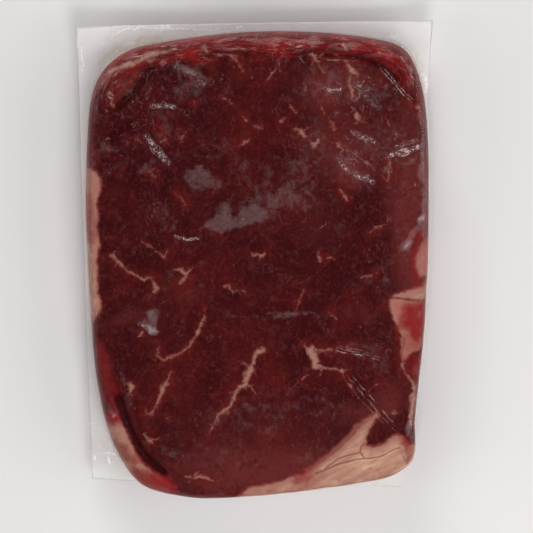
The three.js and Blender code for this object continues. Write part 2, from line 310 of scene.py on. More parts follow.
# Fat and connective tissue, in millimetres on the upper face. Veins are x, y and width.
marbling = {
    "veins": [
        [(-49.3, 2.8, .5), (-46.9, .7, .9), (-43.5, -2.4, 1.2), (-41, -4, 1), (-38, -6, 1),
         (-36, -4.5, .7), (-34.8, -6, .9), (-33.8, -8.3, 1.6), (-34.8, -9.7, .5)],
        [(-38.8, 7.3, .4), (-35.6, 6.2, 1), (-33.6, 4.5, .9), (-31, 1.9, .7), (-30, 4.5, .3)],
        [(-28, -2, .5), (-25.5, -2, 1), (-23.8, -3.8, 1.4), (-22.4, -3, 1), (-21, -1.4, .3)],
        [(-23.5, -4, 1), (-25.2, -7.2, 1)],
        [(-10, -7.6, .7), (-9, -7, .9), (-7.6, -8.6, 1), (-7.6, -10.3, .5)],
        [(-7.2, -9.3, .3), (-4, -9.7, .3)],
        [(-2.8, 4.8, .3), (-1, 2.8, .7), (1, 3, .5), (2.8, 2.4, .7), (3.8, 3.4, .3)],
        [(-17.2, -15.5, .3), (-17, -19, 1.2), (-18.6, -21.4, 1), (-21, -26.2, 1.2), (-24, -29.3, 1),
         (-26.6, -31.4, 1), (-29.7, -32.4, 1.2), (-31.4, -33, 1), (-34.2, -31.4, .7)],
        [(-33.8, -31, .7), (-33, -28.3, .3)],
        [(-29, -37.6, .3), (-30, -40, .9), (-31.4, -42.8, 2.1), (-32, -44.5, 1.8), (-33.8, -48.6, .9),
         (-35.2, -51, 1), (-36.6, -52.4, .7), (-38.6, -52.4, .3)],
        [(3, -29.7, 1), (1, -30.7, 1.8), (-1, -35.2, 1.9), (-2.8, -39, 2.4), (-3.4, -42, 2.1),
         (-6, -43.5, 1.4), (-7.6, -47, 1.4), (-9, -50, 1.2), (-12, -52.4, 1), (-14, -56, .9),
         (-16.2, -60, .3)],
        [(-3, -42, 1), (-1.7, -42.4, .9), (.3, -44.8, .3)],
        [(-2, -35.5, .9), (-4, -34.2, .7), (-6, -33.5, .3)],
        [(16.6, -28.6, .7), (19, -29.7, 2.2), (20, -31.4, 3.0), (21, -33.8, 3.2), (20.6, -36.2, 2.2),
         (23, -35.5, 1.4), (26, -36.2, 1), (29.7, -37, 1.2), (30.4, -38.6, .5)],
        [(20.4, -30, 1), (22.8, -30, .9), (26.2, -29.7, .7), (28.6, -28.6, .5), (33.5, -29.7, 1)],
        [(30.4, -39, .3), (33.8, -43, .4)],
        [(16.2, -40, .7), (18.6, -38.6, .3)],
        [(16.6, -8.6, .3), (15.5, -12.4, .7), (13.5, -17, .4)],
        [(25.2, -16.2, .3), (27.6, -19, .4)],
        [(22, 3.8, 1), (22.4, 1, .7)],
        [(24.8, 2.4, .5), (27.6, 1.7, .7)],
        [(39, 10.3, .3), (41, 12.4, .6), (44.5, 14, .5), (46.6, 16.2, .4)],
        [(4.5, 62.4, .7), (6.2, 65, 1.3), (8, 66.6, .7)],
        [(-7, 71, .3), (-4.8, 68.3, .7), (-4, 65.5, .5)],
        [(-6, 39.7, .3), (-4, 41.4, .7), (-1.7, 42.8, .5)],
        [(0, 47, .7), (2.4, 46.6, .7)],
        [(9, 48.6, .7), (10.3, 50.4, .3)],
        [(13.8, 46.4, .8), (15.6, 45.4, 2.2), (17.4, 43.8, 1.2)],
        [(18.4, 42.4, .6), (20.2, 40.6, 1.6), (21.6, 41.4, 1.2), (22.4, 43.2, .5)],
        [(31.2, 68.8, .8), (33.2, 66.4, 2.6), (34.8, 64.9, 1.2)],
        [(33.6, 65.6, 1), (32.5, 62, .9), (33.2, 59.4, 1.8), (32.8, 56.5, .6)],
        [(22.8, 53.5, .7), (23.8, 51, .3)],
        [(20.7, 69.3, .7), (22.8, 71.4, .3)],
        [(29.3, 25.2, 1), (31, 22, 1)],
        [(36.6, -4.5, .3), (39.7, -4, .5), (42.4, -3, .3)],
        [(22.8, 12.4, .4), (24.8, 14.5, .3)],
        [(-27.3, 24.5, .3), (-25.5, 23.5, .5), (-23.8, 20.4, .5)],
        [(45.5, 32.8, .3), (46, 29.3, 1), (44.8, 28, .7)],
        [(-36.2, 32, .5), (-34.2, 30, .3)],
        [(-24, -73.5, .3), (-20.7, -74.2, .9), (-16.2, -74.5, 1.8), (-14, -75.6, .3)],
        [(-37.6, -58.8, .8), (-37, -60, 1.2), (-36.2, -61.2, 1.6), (-35.8, -62.2, .9)],
        [(-43.3, -41.6, 1.4), (-42.6, -43.2, 2.4), (-43, -45.2, 1.2)],
        [(-38.3, -24, .5), (-40, -25.5, .3)],
        [(-30, -53.5, .3), (-29, -52.4, .3)],
        [(39, -44.5, .3), (40.4, -42.8, .4), (42, -42, .3)],
        [(51, -25.2, 1.8), (51.4, -28, 2), (50.7, -31.4, 1.4), (50.4, -33.5, 1.2), (51.7, -37.3, 1.2),
         (53.8, -40.4, 1.3), (55, -43, 1.8), (54.6, -47.3, 2.6), (54, -52, 2.4), (53.2, -56, 1.6)],
        [(45.2, -52, .3), (48.6, -52.4, .5), (51, -52, .3)],
        [(-51.4, 63.7, 2), (-45.9, 66.9, 2.2), (-40, 69.8, 2.2), (-37.4, 70.9, 2.3), (-33.5, 72, 2.2),
         (-30.1, 73.2, 1.2), (-27.4, 73.9, .6)],
        [(-37.6, 70.4, .4), (-35.6, 69.2, 1.4), (-33.8, 69.6, .4)],
        [(-14.5, 72.6, .4), (-11.7, 71.7, .5), (-8.6, 71, .7), (-6.5, 69.6, .9), (-4.6, 68.6, .5)],
        [(29.5, 77.5, .6), (30, 75, 1.8), (31, 72.4, .7)],
        [(52.4, 68.3, 1.2), (53.6, 66.8, 2.2), (54.6, 65.4, 1)],
        [(55.7, 54, 1.2), (56.8, 52.4, 1)],
        [(28.2, 41.5, .8), (29.2, 40.4, 1.4), (30, 39.5, .6)],
        [(31.4, 39.2, .3), (35, 37.1, .5), (38.7, 34.3, .4), (41.6, 31.8, .6), (42.8, 30.6, .3)],
        [(44.4, 50.6, .4), (45.2, 48.4, .8), (46, 46, .4)],
        [(25.8, 48.8, .5), (26.8, 46.6, .8)],
        [(34, 52.4, .8), (35, 50.4, 1.2), (34.6, 48.6, .4)],
        [(45.4, 37, .6), (46.2, 34.4, .9), (46.6, 32, .4)],
        [(12.4, 54, .5), (14, 52, .4)],
        [(17, 61.4, .5), (17.6, 59.2, .4)],
        [(22.2, 68, .6), (22.8, 66.6, 1.1), (23.6, 65.4, .5)],
        [(18.4, 72, .6), (20.4, 70.6, 1.6), (22.4, 68.8, .8)],
        [(-49, 57, .4), (-48.8, 55, .9), (-48.2, 53.8, .5)],
        [(-39.4, 42.4, .5), (-38.8, 41.2, .8)],
        [(-31.8, 42, .5), (-30.6, 42.5, .9), (-29.2, 43.2, .5)],
        [(-24.6, 43.4, .4), (-23.6, 44.8, .5)],
        [(-21, 56, .4), (-20.4, 54.4, .5)],
        [(-11.2, 56.6, .3), (-9.4, 55.8, .5), (-7.8, 54.8, .4)],
        [(-4.3, 50.2, .5), (-2.6, 49, .7)],
        [(-14.6, 68, .5), (-13.8, 66.8, .4)],
        [(-18, 75.6, 1.2), (-17, 74.4, 1.6), (-16.4, 73, .6)],
    ],
    # solid fat and how pale it is, below 0 for pink flesh: lower right corner, left edge, right
    # edge above and below its seam, a patch above it, the cut side at the lower left, and flesh
    "areas": [
        (1.0, [(42.5, -52.8), (38, -54.9), (35.2, -57.4), (32, -60.8), (29, -64.2), (25.8, -67.2),
            (22.2, -70.2), (18.8, -72.9), (14.5, -74.2), (10.5, -75), (5, -76), (-2, -77.4), (-8.5, -82),
            (15, -90), (64, -90), (64, -63), (53, -62.5), (51, -59.6), (48.5, -60.2), (45, -61.6),
            (41, -63.3), (38.4, -63.3), (38.3, -61), (39.6, -57.6), (41, -54.6)]),
        (0.45, [(-56.5, 33), (-54.2, 31.5), (-52.3, 27.5), (-52.6, 25), (-53.4, 21.7), (-53.8, 14.8),
            (-53.4, 12), (-52.5, 8), (-52.6, 6), (-53.4, 4.5), (-68, 2), (-68, 36)]),
        (0.85, [(-68, 11), (-53.2, 10), (-52.5, 8), (-52.6, 6), (-53.4, 4.5), (-53.6, 1), (-53.7, -6),
            (-53.4, -10), (-52.8, -13), (-52.6, -16), (-53.4, -18), (-55.2, -20), (-68, -22)]),
        (0.75, [(66, -5), (58, -6.6), (55.5, -7.9), (52.1, -9.3), (47.3, -11), (46.6, -12), (57.6, -12.8),
            (66, -13)]),
        (0.0, [(46.6, -12), (45.5, -12.8), (45.9, -15.5), (47.6, -19), (49.3, -22.4), (50.8, -25.9),
            (50.6, -28.5), (50, -31.4), (50.6, -33.6), (52.2, -33), (53.6, -31), (57, -29.4), (68, -27),
            (68, -13), (57.6, -12.8)]),
        (-0.15, [(68, 10.5), (58.4, 9), (56, 5), (54.6, 1.5), (54.8, -2), (56.4, -4.6), (68, -5)]),
        (0.75, [(-56, -53), (-49, -54), (-45.8, -55), (-43.2, -60), (-42, -64), (-40.4, -67),
            (-37, -70.5), (-33, -73.4), (-29, -78), (-31, -84), (-50, -82), (-66, -64)]),
        (-0.7, [(42.5, -52), (37, -54), (34, -56.4), (30.8, -59.8), (27.8, -63.2), (24.8, -66),
            (21, -69.1), (17.4, -71.8), (19, -73.3), (23.2, -71), (27, -68.2), (30.4, -65), (33.4, -61.6),
            (36.4, -58.4), (38.8, -56.2), (42, -53.8)]),
        (-1.0, [(-48.6, 53.6), (-46.4, 55.4), (-43.4, 58.6), (-41.2, 61), (-42.4, 62.6), (-45.4, 60.2),
            (-48.2, 57)]),
    ],
    "areaBlend": 0.7,      # one area's value runs over into the next one's in about this distance
    # how strongly blood-red the meat and fat are near the surface
    "fresh": [
        (1.0, [(51.6, -13.8), (68, -13.6), (68, -28), (54.4, -28), (52.2, -25), (50.2, -22),
            (50.2, -17.5)]),
        (0.5, [(51.4, -25), (56, -26), (60, -30), (54, -30.6), (51.6, -29)]),
        (0.6, [(55, 13), (57.6, 14), (59, 9), (56.6, 5), (55.2, 1), (56, -3), (58, -6), (55.4, -7),
            (53.6, -3), (53.4, 5)]),
        (0.6, [(-64, 25), (-58.6, 23.4), (-56, 19.5), (-54, 15), (-53.8, 9.5), (-57, 6), (-64, 6)]),
        (0.7, [(52.8, -32.4), (55, -30.4), (60, -30), (66, -36), (64, -46), (56, -46), (54.4, -39.4),
            (52.6, -36)]),
        (1.0, [(-66, -48), (-52, -49), (-47, -51), (-45.8, -54), (-50, -55.5), (-66, -55)]),
        (0.9, [(-50, -61.4), (-46, -62.8), (-40.4, -66.6), (-38.4, -69.4), (-41, -70), (-45.6, -66.6),
            (-50, -64.6)]),
        (1.0, [(-42.6, -70.6), (-36, -71.8), (-30.5, -74.4), (-26.5, -77.6), (-26, -88), (-37, -86),
            (-46, -77), (-44.6, -73.4)]),
        (0.3, [(-62, -55), (-53, -56.5), (-50.6, -62), (-51, -66), (-60, -68)]),
        (0.9, [(50.6, -60), (52.4, -59.6), (53.6, -66.5), (51.8, -68)]),
        (0.35, [(-12, -80), (20, -78), (34, -77), (46, -74), (48, -78), (20, -84), (-12, -86)]),
        (0.6, [(14, -73.4), (21, -71.6), (24.6, -73.4), (20, -77.6), (13, -78)]),
        # along the far end the red is partly the meat's own and partly painted light on the shoulder wall
        # that the far lamp lights
        (0.9, [(-70, 60), (-52, 63), (-46, 67.4), (-38, 71.2), (-29, 74.4), (-16, 77), (-16, 95),
            (-70, 95)]),
        (0.9, [(-31, 72.6), (-24.5, 73.6), (-18.2, 74), (-17.6, 71.2), (-24, 70.6), (-30, 70.2)]),
        (0.45, [(-46.6, 66), (-40.6, 68.6), (-38.4, 67.4), (-40.4, 64.6), (-46, 62.6)]),
        (0.6, [(-16, 77), (-14, 73.6), (-2, 72.2), (8, 72), (18, 72.8), (31, 72.6), (31, 76.6),
            (12, 77.4), (0, 77.6)]),
        (1.1, [(31.8, 75.9), (36.3, 76.1), (41.5, 75.1), (46, 73), (48.9, 70.4), (51, 67.4), (48.6, 67.4),
            (43.3, 70.3), (38, 72), (32.2, 72.7)]),
        (0.5, [(51, 66), (54, 63), (57, 57), (57, 50), (70, 50), (70, 80), (54, 74)]),
        (0.45, [(-66, -24), (-54, -24), (-50.5, -33), (-48, -41), (-47, -49), (-66, -50)]),
        (0.5, [(-33.8, 48.6), (-31.6, 48.8), (-31.2, 46), (-33, 45.4)]),
    ],
    # soft darker (below 0) and brighter stretches: x, y, half length, half width, turn, strength
    "tones": [
        (-34, 36, 20, 16, 0, -0.6), (-14, 52, 16, 9, 0, -0.5), (-42, 20, 12, 7, 0, -0.5),
        (33, 20, 7, 6, 0, -0.9), (11, -1.5, 20, 5, 0, -0.7), (-42, -1, 8, 4.5, 0, -0.7),
        (-35, -31, 13, 5, 0, -0.9), (-14, -38, 8, 6, 30, -0.5), (24, -46, 8, 5, 0, -0.3),
        (-45.5, 57, 6, 3, 45, -0.4), (54, 16, 9, 50, 0, 1.0), (34, 38, 13, 14, 0, 0.75),
        (26, 62, 14, 9, 0, 0.6), (22, 44, 8, 14, 0, 0.35), (-59, 40, 5, 30, 0, 0.7),
        (46, -48, 7, 9, 0, 0.8), (34, -52, 8, 6, 0, 0.5), (38, -18, 5, 5, 0, 0.5),
        (24, 60, 12, 7, 0, 0.4), (0, -73, 40, 9, 4, 0.75), (2, -62, 44, 16, 0, 0.35),
        (-52, -38, 3.5, 10, 15, 0.5), (-44, -19, 8, 4, 0, 0.5), (-42, 66, 10, 4, 20, 0.6),
        (-24, -10, 12, 5, 0, 0.35), (-2, 14, 10, 7, 0, 0.3), (38, 66, 10, 5, -20, 0.5),
        (-47, 61, 5, 3, 40, 0.5), (36, -30, 12, 5, 0, 0.4), (20, 12, 9, 14, 0, 0.35),
        (-31, 46, 5, 3, 40, 0.5), (-28, 26, 8, 3, 0, 0.35), (33, 31, 5, 6, 0, 0.4),
    ],
    # thin dark seams inside the fat
    "seams": [
        [(20.7, -72.5), (27.9, -70), (35.5, -67.6), (39.7, -67.6), (43.5, -66.6), (46.6, -65.2),
         (50, -63.8)],
        [(38, -62.4), (36.6, -63.6), (36.2, -65.2), (37.4, -67)],
        [(24, -70.8), (29, -67.8), (33, -66.2), (36.4, -65.4)],
        [(46.6, -11.8), (50, -11.9), (53.5, -12.6), (57.6, -12.8), (62, -12.8)],
    ],
}

# How the routes wander: size, amount and seed of each drift
drifts = {
    "throughWall": (14.0, 9.0, 10.0),       # its amount grows with the depth below the face
    "vein": (5.0, 0.8, 2.0), "veinFine": (1.5, 0.55, 5.0),
    "fat": (7.0, 1.0, 9.0), "fatFine": (1.8, 0.3, 12.0),
    "seam": (7.0, 0.5, 6.0),
    "blood": (9.0, 1.6, 4.0), "bloodBelow": 7.0,        # what its amount gains down to the back
    "tone": (12.0, 4.0, 14.0),
}

steakShape = {
    "across": 100, "along": 136, "up": 22,
    "filmGap": 0.15,
    "bands": (1.2, 0.6),       # faces this near to a border of the marbling are split
    "splitAbove": 0.8,         # share of the way up the wall
    "fatHeight": 0.08,         # how proud the fat stands, and how deep it is where it reaches that
    "fatRise": 0.4,
}


# Short side branches that leave the veins at random
def growTwigs(veins, seed=5):
    dice = random.Random(seed)
    twigs = []
    for vein in veins:
        for (ax, ay, wide), (bx, by, _) in zip(vein, vein[1:]):
            if dice.random() < 0.45 or wide < 0.5:
                continue
            turn = math.atan2(by - ay, bx - ax) + dice.choice((-1, 1)) * dice.uniform(0.6, 1.5)
            length = dice.uniform(0.8, 1.4 + 1.2 * wide)
            bend = turn + dice.uniform(-0.7, 0.7)
            mx, my = ax + length * math.cos(turn) * 0.5, ay + length * math.sin(turn) * 0.5
            tip = (mx + length * 0.6 * math.cos(bend), my + length * 0.6 * math.sin(bend), 0.08)
            twigs.append([(ax, ay, 0.45 * wide), (mx, my, 0.35), tip])
    return twigs


marbling["twigs"] = growTwigs(marbling["veins"])


# How deep each point lies in the areas, and their value there, which runs over softly from one
# area to the next
def deepest(points, areas):
    gaps = np.array([areaDistance(points, area) for _, area in areas])
    least = np.min(gaps, axis=0)
    shares = np.exp((least - gaps) / marbling["areaBlend"])
    values = np.array([value for value, _ in areas])
    return values @ shares / np.sum(shares, axis=0), -least


patchEdge = 1.5      # a soft patch fades out at this many half lengths and half widths


# Share of each soft patch that a point gets, at its strength in the middle and 0 past its edge
def patchShares(points, patches):
    for x, y, halfLength, halfWidth, turn, strength in patches:
        a = math.radians(turn)
        dx, dy = points[:, 0] - x, points[:, 1] - y
        along = (dx * math.cos(a) + dy * math.sin(a)) / halfLength
        across = (dy * math.cos(a) - dx * math.sin(a)) / halfWidth
        yield strength * smoothFade(np.hypot(along, across), patchEdge)


def depthShare(z):
    return np.clip(1 - z / packShape["thickness"], 0, 1)


# Depth into veins and into solid fat in millimetres, negative in the lean meat, and how pale it
# is. Through the thickness the fat drifts sideways, so that the side wall doesn't just repeat the
# face.
def fatDepth(plan, z):
    size, amount, seed = drifts["throughWall"]
    drifted = wander(plan, size, amount * depthShare(z), seed, z)
    loose = wander(wander(drifted, *drifts["vein"]), *drifts["veinFine"])
    routes = marbling["veins"] + marbling["twigs"]
    lines = np.min([routeDistance(loose, route) for route in routes], axis=0)
    loose = wander(wander(drifted, *drifts["fat"], z), *drifts["fatFine"])
    pale, depth = deepest(loose, marbling["areas"])
    return -lines, depth, pale


def seamGap(plan, z):
    loose = wander(plan, *drifts["seam"], z)
    return np.min([routeDistance(loose, seam) for seam in marbling["seams"]], axis=0)


def makeSteak():
    shape = steakShape
    gap = shape["filmGap"]
    bm = gridBox(shape["across"], shape["along"], shape["up"])
    for band in shape["bands"]:
        grid = gridPlaces(bm)
        plan, z = steakPlaces(grid, gap)
        veins, areas, _ = fatDepth(plan, z)
        near = np.min([np.abs(veins), np.abs(areas), seamGap(plan, z), cutGap(plan)], axis=0)
        splitNear(bm, (near < band) & (grid[:, 2] > shape["splitAbove"]))
    grid = gridPlaces(bm)
    plan, z = steakPlaces(grid, gap)
    veins, areas, pale = fatDepth(plan, z)
    size, amount, seed = drifts["blood"]
    loose = wander(plan, size, amount + drifts["bloodBelow"] * depthShare(z), seed, z)
    blood, bloodDepth = deepest(loose, marbling["fresh"])
    loose = wander(plan, *drifts["tone"])
    tone = np.clip(np.sum(list(patchShares(loose, marbling["tones"])), axis=0), -1, 1.2)
    seams, cuts = seamGap(plan, z), cutGap(plan)
    proud = np.clip(np.maximum(veins, areas) / shape["fatRise"], -1, 1)
    onFace = smoothFade(1 - grid[:, 2], 0.5)
    z = z + shape["fatHeight"] * proud * onFace
    steak = finishMesh(bm, "steak", np.column_stack([plan, z]), {
        "veinDepth": veins, "areaDepth": areas, "pale": pale, "blood": blood,
        "bloodDepth": bloodDepth, "tone": tone, "seamDistance": seams, "cutGap": cuts,
        "overRim": 1 - grid[:, 2], **rimPlaces(grid, plan, z)})
    print("steak:", len(steak.data.polygons), "faces")
    return steak


# Node helpers: every input is a plain value or the socket that feeds it
def addNode(tree, kind, inputs=None, **settings):
    node = tree.nodes.new(kind)
    for key, value in settings.items():
        setattr(node, key, value)
    for key, value in (inputs or {}).items():
        if isinstance(value, bpy.types.NodeSocket):
            tree.links.new(value, node.inputs[key])
        else:
            node.inputs[key].default_value = value
    return node


def calculate(tree, operation, first, second=0.0, third=0.0):
    inputs = {0: first, 1: second, 2: third}
    return addNode(tree, "ShaderNodeMath", inputs, operation=operation).outputs[0]


# One operation from value to value
def combine(tree, operation, *values):
    result = values[0]
    for value in values[1:]:
        result = calculate(tree, operation, result, value)
    return result


def product(tree, *values):
    return combine(tree, "MULTIPLY", *values)


# value times factor, plus extra
def scaled(tree, value, factor, extra):
    return calculate(tree, "MULTIPLY_ADD", value, factor, extra)


# What a noise pattern swings to either side of its middle, times the factors
def swing(tree, pattern, *factors):
    return product(tree, calculate(tree, "SUBTRACT", pattern, 0.5), *factors)


# 0 along the crooked lines on which a noise pattern is in its middle
def ridgesOf(tree, pattern):
    return calculate(tree, "ABSOLUTE", swing(tree, pattern))


# 0 below low, 1 above high, smooth between. low may be the larger of the two.
def between(tree, value, low, high):
    inputs = {"Value": value, "From Min": low, "From Max": high}
    node = addNode(tree, "ShaderNodeMapRange", inputs, interpolation_type="SMOOTHSTEP")
    return node.outputs["Result"]


def mixColours(tree, share, first, second):
    inputs = {0: share, 6: first, 7: second}
    return addNode(tree, "ShaderNodeMix", inputs, data_type="RGBA").outputs[2]


# A colour over the one that is there, as strong as the product of the shares
def paint(tree, under, over, *shares):
    return mixColours(tree, product(tree, *shares), under, over)


def readAttribute(tree, name):
    return addNode(tree, "ShaderNodeAttribute", attribute_name=name).outputs["Fac"]


# Object coordinates in millimetres, turned about the vertical by so many degrees, and each divided
# by the size of the pattern along it
def patternSpace(tree, size, shift=(0, 0, 0), turn=0):
    space = addNode(tree, "ShaderNodeTexCoord").outputs["Object"]
    if turn:
        inputs = {"Vector": space, "Rotation": (0, 0, math.radians(turn))}
        space = addNode(tree, "ShaderNodeMapping", inputs).outputs["Vector"]
    inputs = {"Vector": space, "Scale": [1 / (mm * s) for s in size], "Location": shift}
    return addNode(tree, "ShaderNodeMapping", inputs).outputs["Vector"]


def noiseAt(tree, size, shift=(0, 0, 0), detail=2.0, rough=0.5, distortion=0.0, turn=0):
    space = patternSpace(tree, size, shift, turn)
    inputs = {"Vector": space, "Scale": 1.0, "Detail": detail, "Roughness": rough,
              "Distortion": distortion}
    return addNode(tree, "ShaderNodeTexNoise", inputs).outputs["Fac"]


# Pattern that runs in streaks along the rim: their length and breadth in millimetres
def streaksAt(tree, length, breadth, shift=0.0, **settings):
    sizes = {"X": ("rimX", length), "Y": ("rimY", length), "Z": ("down", breadth)}
    along = addNode(tree, "ShaderNodeCombineXYZ", {
        axis: scaled(tree, readAttribute(tree, name), 1 / size, shift)
        for axis, (name, size) in sizes.items()}).outputs["Vector"]
    inputs = {"Vector": along, "Scale": 1.0, "Detail": 3.0, "Roughness": 0.55, **settings}
    return addNode(tree, "ShaderNodeTexNoise", inputs).outputs["Fac"]


def newMaterial(name):
    material = bpy.data.materials.new(name)
    material.use_nodes = True
    tree = material.node_tree
    tree.nodes.clear()
    return material, tree


meatColours = {
    "deep": (0.038, 0.0036, 0.0046, 1),
    "muscle": (0.067, 0.0056, 0.0062, 1),
    "light": (0.110, 0.0220, 0.0230, 1),
    "bright": (0.148, 0.0250, 0.0240, 1),
    "warm": (0.112, 0.0095, 0.0085, 1),
    "fresh": (0.230, 0.0095, 0.0110, 1),
    "thread": (0.200, 0.0600, 0.0500, 1),
    "veinEdge": (0.190, 0.0580, 0.0470, 1),
    "veinCore": (0.340, 0.1620, 0.1240, 1),
    "salmon": (0.400, 0.1100, 0.0860, 1),
    "tan": (0.350, 0.1560, 0.1200, 1),
    "fat": (0.470, 0.2480, 0.1720, 1),
    "cream": (0.640, 0.4200, 0.3000, 1),
    "flesh": (0.230, 0.0440, 0.0380, 1),
    "seam": (0.210, 0.0420, 0.0320, 1),
}


def makeMeatMaterial():
    material, tree = newMaterial("meat")
    c = meatColours
    broad = noiseAt(tree, (17, 22, 17), detail=2, distortion=0.5)
    cloud = noiseAt(tree, (7, 8, 7), (3, 5, 2), detail=3, rough=0.55, distortion=0.9)
    middle = noiseAt(tree, (3.2, 3.8, 3.2), (3, 1, 0), detail=3, rough=0.5, distortion=0.5)
    fine = noiseAt(tree, (1.0, 1.2, 1.0), (7, 2, 0), detail=4, rough=0.6)
    tone, pale, bloodShare, overRim = (readAttribute(tree, name) for name in (
        "tone", "pale", "blood", "overRim"))

    # lean meat: broad stretches, clouds and middling mottling, then the grain of the cut fibres.
    # Each layer is a pattern, where it begins and where it is full, its strength and its colour.
    colour = mixColours(tree, between(tree, broad, 0.30, 0.66), c["deep"], c["muscle"])
    for pattern, start, full, strength, name in (
            (cloud, 0.50, 0.28, 0.65, "deep"), (cloud, 0.52, 0.74, 0.50, "warm"),
            (tone, 0.0, -1.0, 0.80, "deep"), (tone, 0.0, 1.0, 0.75, "bright"),
            (middle, 0.48, 0.28, 0.40, "deep"), (middle, 0.52, 0.78, 0.50, "light"),
            (fine, 0.48, 0.75, 0.46, "light"), (fine, 0.50, 0.30, 0.38, "deep")):
        colour = paint(tree, colour, c[name], between(tree, pattern, start, full), strength)

    # fine marbling: short crooked threads and a few specks
    ridge = ridgesOf(tree, noiseAt(tree, (4.2, 5.2, 4.2), (1, 9, 4), detail=3, rough=0.62))
    broken = between(tree, noiseAt(tree, (4, 4, 4), (5, 5, 5), detail=1), 0.54, 0.66)
    colour = paint(tree, colour, c["thread"], between(tree, ridge, 0.020, 0.003), broken, 0.30)
    for cell, shift, reach in ((3.1, (0.3, 0.7, 0.1), 0.20), (7.5, (1.9, 0.2, 0.8), 0.09)):
        speck = addNode(tree, "ShaderNodeTexVoronoi", {
            "Vector": patternSpace(tree, (cell, cell * 1.2, cell), shift), "Scale": 1.0})
        lot = addNode(tree, "ShaderNodeSeparateColor", {"Color": speck.outputs["Color"]}).outputs["Red"]
        shape = calculate(tree, "ADD", speck.outputs["Distance"], swing(tree, fine, 1.6 * reach))
        colour = paint(tree, colour, c["thread"], between(tree, shape, reach, reach * 0.3),
                       between(tree, lot, 0.80, 1.0), 0.5)

    # blood-red stretches, and the side wall, where more light gets through
    bloodDepth = calculate(tree, "ADD", readAttribute(tree, "bloodDepth"), swing(tree, middle, 7.0))
    side = between(tree, overRim, 0.02, 0.35)
    blood = product(tree, between(tree, bloodDepth, -2.2, 2.6), bloodShare, scaled(tree, fine, 0.8, 0.6))
    fresh = calculate(tree, "MAXIMUM", blood, product(tree, side, 0.30))
    colour = paint(tree, colour, c["fresh"], fresh, scaled(tree, cloud, 0.9, 0.45))
    # painted shade: inside the deep cuts of the folds the colour is darkened to the deep red
    cut = between(tree, readAttribute(tree, "cutGap"), 0.7, -0.9)
    colour = mixColours(tree, cut, colour, c["deep"])

    # the shoulder at the far end is stretched and streaky: crimson streaks, partly the meat's own red and
    # partly painted light on the wall that the far lamp lights, dark streaks of painted shade for its
    # folds, and thin pale lines
    farEnd = between(tree, readAttribute(tree, "rimY"), 50.0, 70.0)
    shoulder = product(tree, between(tree, readAttribute(tree, "inward"), 11.0, 6.0), farEnd)
    broadStreak = streaksAt(tree, 13, 3.4, Distortion=0.8)
    colour = paint(tree, colour, c["fresh"], between(tree, broadStreak, 0.46, 0.66), shoulder, 0.7)
    colour = paint(tree, colour, c["deep"], between(tree, broadStreak, 0.46, 0.32), shoulder, 0.35)
    thinStreak = ridgesOf(tree, streaksAt(tree, 11, 2.8, 4.0, Distortion=0.8))
    colour = paint(tree, colour, c["tan"], between(tree, thinStreak, 0.022, 0.004), shoulder,
                   between(tree, cloud, 0.42, 0.56), 0.5)
    wallStreak = streaksAt(tree, 13, 3.6, 7.0)
    colour = paint(tree, colour, c["tan"], between(tree, wallStreak, 0.56, 0.68), side, 0.3)

    # veins: ragged, swelling and thinning, in meat that glows where fat lies just under it
    ragged = noiseAt(tree, (1.3, 1.3, 1.3), (4, 4, 0), detail=4, rough=0.72)
    swelling = noiseAt(tree, (4.5, 4.5, 4.5), (6, 1, 3), detail=1)
    low = between(tree, overRim, 0.3, 0.6)         # down on the side wall
    veins = combine(tree, "ADD", readAttribute(tree, "veinDepth"), swing(tree, ragged, 2.1),
                    swing(tree, swelling, 1.3), product(tree, low, -1.4))
    colour = paint(tree, colour, c["warm"], between(tree, veins, -2.6, -0.2),
                   between(tree, cloud, 0.36, 0.60), 0.6)
    veinColour = mixColours(tree, between(tree, veins, 0.1, 1.1), c["veinEdge"], c["veinCore"])
    colour = mixColours(tree, between(tree, veins, -0.35, 0.45), colour, veinColour)

    # solid fat, which runs out into the meat through pink
    frayed = noiseAt(tree, (2.8, 2.8, 2.8), (4, 7, 3), detail=4, rough=0.65)
    sag = noiseAt(tree, (8, 8, 5), (2, 6, 1), detail=3, rough=0.6)
    areas = combine(tree, "ADD", readAttribute(tree, "areaDepth"), swing(tree, frayed, 2.2),
                    swing(tree, sag, low, 12.0))
    fatty = between(tree, pale, -1.0, 0.0)         # 0 where the area is pink flesh
    grain = noiseAt(tree, (11, 2.4, 5), (1, 1, 6), detail=4, rough=0.6, turn=-22)
    stain = noiseAt(tree, (3.2, 2.2, 3), (7, 3, 2), detail=3, rough=0.6)
    body = mixColours(tree, fatty, c["flesh"], c["salmon"])
    body = mixColours(tree, between(tree, pale, 0.15, 0.5), body, c["tan"])
    body = mixColours(tree, between(tree, pale, 0.5, 1.0), body, c["fat"])
    body = paint(tree, body, c["tan"], between(tree, grain, 0.53, 0.40), fatty, 0.6)
    body = paint(tree, body, c["cream"], between(tree, grain, 0.52, 0.68), pale, 0.75)
    body = paint(tree, body, c["flesh"], between(tree, stain, 0.56, 0.74), 0.45)
    border = product(tree, between(tree, areas, -0.3, 0.9), fatty)
    fatColour = mixColours(tree, border, c["flesh"], c["tan"])
    fatColour = mixColours(tree, between(tree, areas, 0.4, 3.0), fatColour, body)
    for start, full, strength, name in ((-2.2, 0.6, 0.7, "flesh"), (-0.4, 2.6, 0.85, "fresh")):
        bloody = between(tree, bloodDepth, start, full)
        fatColour = paint(tree, fatColour, c[name], bloody, bloodShare, strength)
    seam = between(tree, readAttribute(tree, "seamDistance"), 0.50, 0.05)
    fatColour = paint(tree, fatColour, c["seam"], seam, 0.75)
    colour = paint(tree, colour, fatColour, between(tree, areas, -0.9, 0.5),
                   between(tree, pale, -1.5, 0.0))

